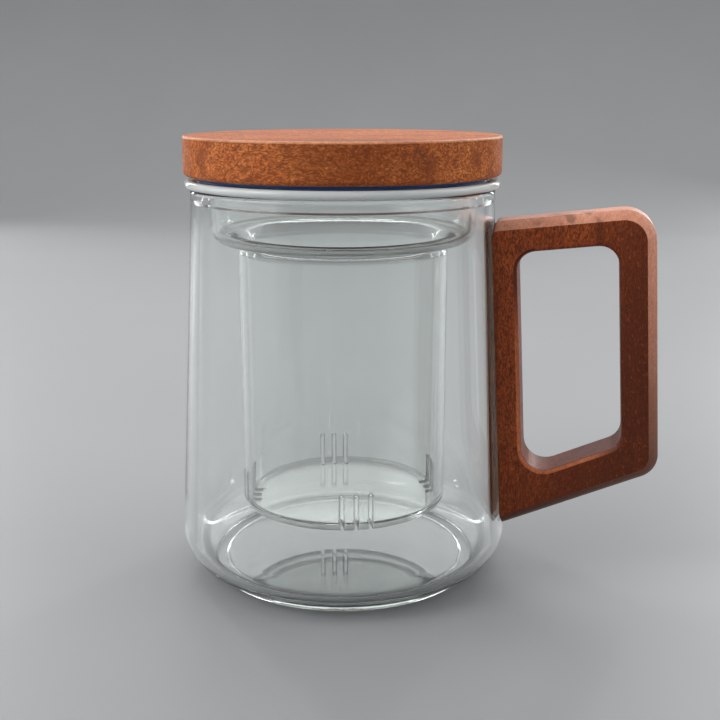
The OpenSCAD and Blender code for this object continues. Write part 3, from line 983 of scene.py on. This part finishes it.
for i in range(film_rows - 1):
    for j in range(film_cols - 1):
        cell = [i * film_cols + j, i * film_cols + j + 1,
                (i + 1) * film_cols + j + 1, (i + 1) * film_cols + j]
        faces += [cell, [layer + v for v in cell]]
rim = list(range(film_cols))
rim += [i * film_cols + film_cols - 1 for i in range(1, film_rows)]
rim += [(film_rows - 1) * film_cols + j for j in range(film_cols - 2, -1, -1)]
rim += [i * film_cols for i in range(film_rows - 2, 0, -1)]
faces += [[a, b, layer + b, layer + a] for a, b in zip(rim, rim[1:] + rim[:1])]
bond_piece = piece_from("handle_bond_film", sheets, faces, clear_bond,
                        "mug", "handle_bond")
bond_piece.data.set_sharp_from_angle(angle=math.radians(40))

# %% [markdown]
# ## The studio
# The floor is one matt pale sweep that curves up behind the mug. Clear glass shows only what
# stands round it, so the lights matter more than for anything else. Two tall strips behind the
# mug draw the bright lines along its walls, a box above and one at the front left light the
# wood, and a weak bar behind lifts the rings.
#
# Light has to get inside the glass too. Rays from a small lamp seldom find their way through it,
# but those from a wide bright sky do, so most of the light comes from the world: a plain fill, a
# brighter dome, a tall panel on each side and one behind that starts just above the low sweep,
# where the mug's floor mirrors it. The camera itself sees the world as a plain pale grey.

# %% Pale sweep
sweep_paper, shader, place = start_finish("pale sweep")
paper = cloud(place, scale=9, detail=5, rough=0.6)
feed(shader,
     Base_Color=tinted(paper, srgb(149, 150, 151), srgb(155, 156, 157)),
     Roughness=0.42 + 0.06 * paper,
     Specular_IOR_Level=0.2)
bend_r, back_y, front_y, top_z, half = 0.3, 1.1, -6.0, 0.33, 8.0    # in metres
sweep = [(front_y, 0.0), (back_y - bend_r, 0.0)]
sweep += [(back_y - bend_r + bend_r * math.sin(a), bend_r * (1 - math.cos(a)))
          for a in np.radians(np.linspace(0, 90, 25))[1:]]
sweep.append((back_y, top_z))
drop = -0.00005                             # the foot's glass must not share the floor's plane
mesh = bpy.data.meshes.new("sweep")
mesh.from_pydata([(x, y, z + drop) for y, z in sweep for x in (-half, half)], [],
                 [(2 * i, 2 * i + 1, 2 * i + 3, 2 * i + 2) for i in range(len(sweep) - 1)])
mesh.shade_smooth()
mesh.materials.append(sweep_paper)
sweep_piece = bpy.data.objects.new("sweep", mesh)
bpy.context.collection.objects.link(sweep_piece)
print("the sweep rises", top_z, "m behind the mug")

# %% Lamps and fill


def soft_box(name, place, aim, width, height, power):
    """A rectangular lamp at a place, turned to face its aim; lengths in metres."""
    lamp = bpy.data.lights.new(name, "AREA")
    lamp.shape, lamp.size, lamp.size_y, lamp.energy = "RECTANGLE", width, height, power
    stand = bpy.data.objects.new(name, lamp)
    bpy.context.collection.objects.link(stand)
    stand.location = place
    stand.rotation_euler = (Vector(aim) - Vector(place)).to_track_quat("-Z", "Y").to_euler()
    print(name, "gives", power, "W")


middle = (0, 0, 0.06)
soft_box("left strip", (-0.56, 0.57, 0.42), middle, 0.06, 0.76, 1.3)
soft_box("right strip", (0.27, 0.75, 0.42), middle, 0.06, 0.76, 1.3)
soft_box("back bar", (0.0, 0.80, 0.62), middle, 0.9, 0.14, 0.4)
soft_box("top box", (0.02, 0.0, 0.95), middle, 0.5, 0.45, 0.4)
soft_box("key box", (-0.55, -0.45, 0.62), middle, 0.35, 0.35, 1.6)

PLAIN_GREY = 0.42                           # what the camera sees, and the fill in the light
world = bpy.data.worlds.new("studio")
world.use_nodes = True
sky = world.node_tree.nodes["Background"]
way = Wire(world.node_tree).node("ShaderNodeTexCoord")      # the direction of the look
height = axis_of(way, "z")
level_way = way.node("ShaderNodeVectorMath", {"operation": "NORMALIZE"}, {
    0: stretched(way, (1, 1, 0))})


def glow(side, narrow, wide):
    """A tall soft panel of light at a compass angle: 1 within `narrow` degrees, 0 from `wide`."""
    near = level_way.node("ShaderNodeVectorMath", {"operation": "DOT_PRODUCT"}, {
        0: level_way, 1: (*heading(side), 0)}, out=1)
    return near.between(math.cos(math.radians(wide)), math.cos(math.radians(narrow)))


dome = height.between(0.1, 0.75)
sides = glow(-155, 10, 40) * 1.7 + glow(3, 10, 38) * 1.1
behind = glow(90, 35, 75) * height.between(0.30, 0.38) * 1.35
lit = PLAIN_GREY + 0.16 * dome + (sides + behind) * height.between(0.98, 0.6)
seen = way.node("ShaderNodeLightPath")      # 1 for the camera's own looks, 0 for light
strength = seen * PLAIN_GREY + (1 - seen) * lit
way.tree.links.new(strength.socket, sky.inputs["Strength"])
sky.inputs["Color"].default_value = (0.97, 0.98, 1.0, 1)
bpy.context.scene.world = world
bpy.context.scene.view_settings.view_transform = "Standard"

# %% [markdown]
# ## Enough bounces for glass in glass
# A look through the whole mug crosses eight glass faces before it reaches the sweep, and more at
# the flange, so the light paths are allowed that many turns.

# %% Light paths
paths = bpy.context.scene.cycles
paths.max_bounces = 28
paths.transmission_bounces = 26
paths.glossy_bounces = 8
paths.transparent_max_bounces = 16

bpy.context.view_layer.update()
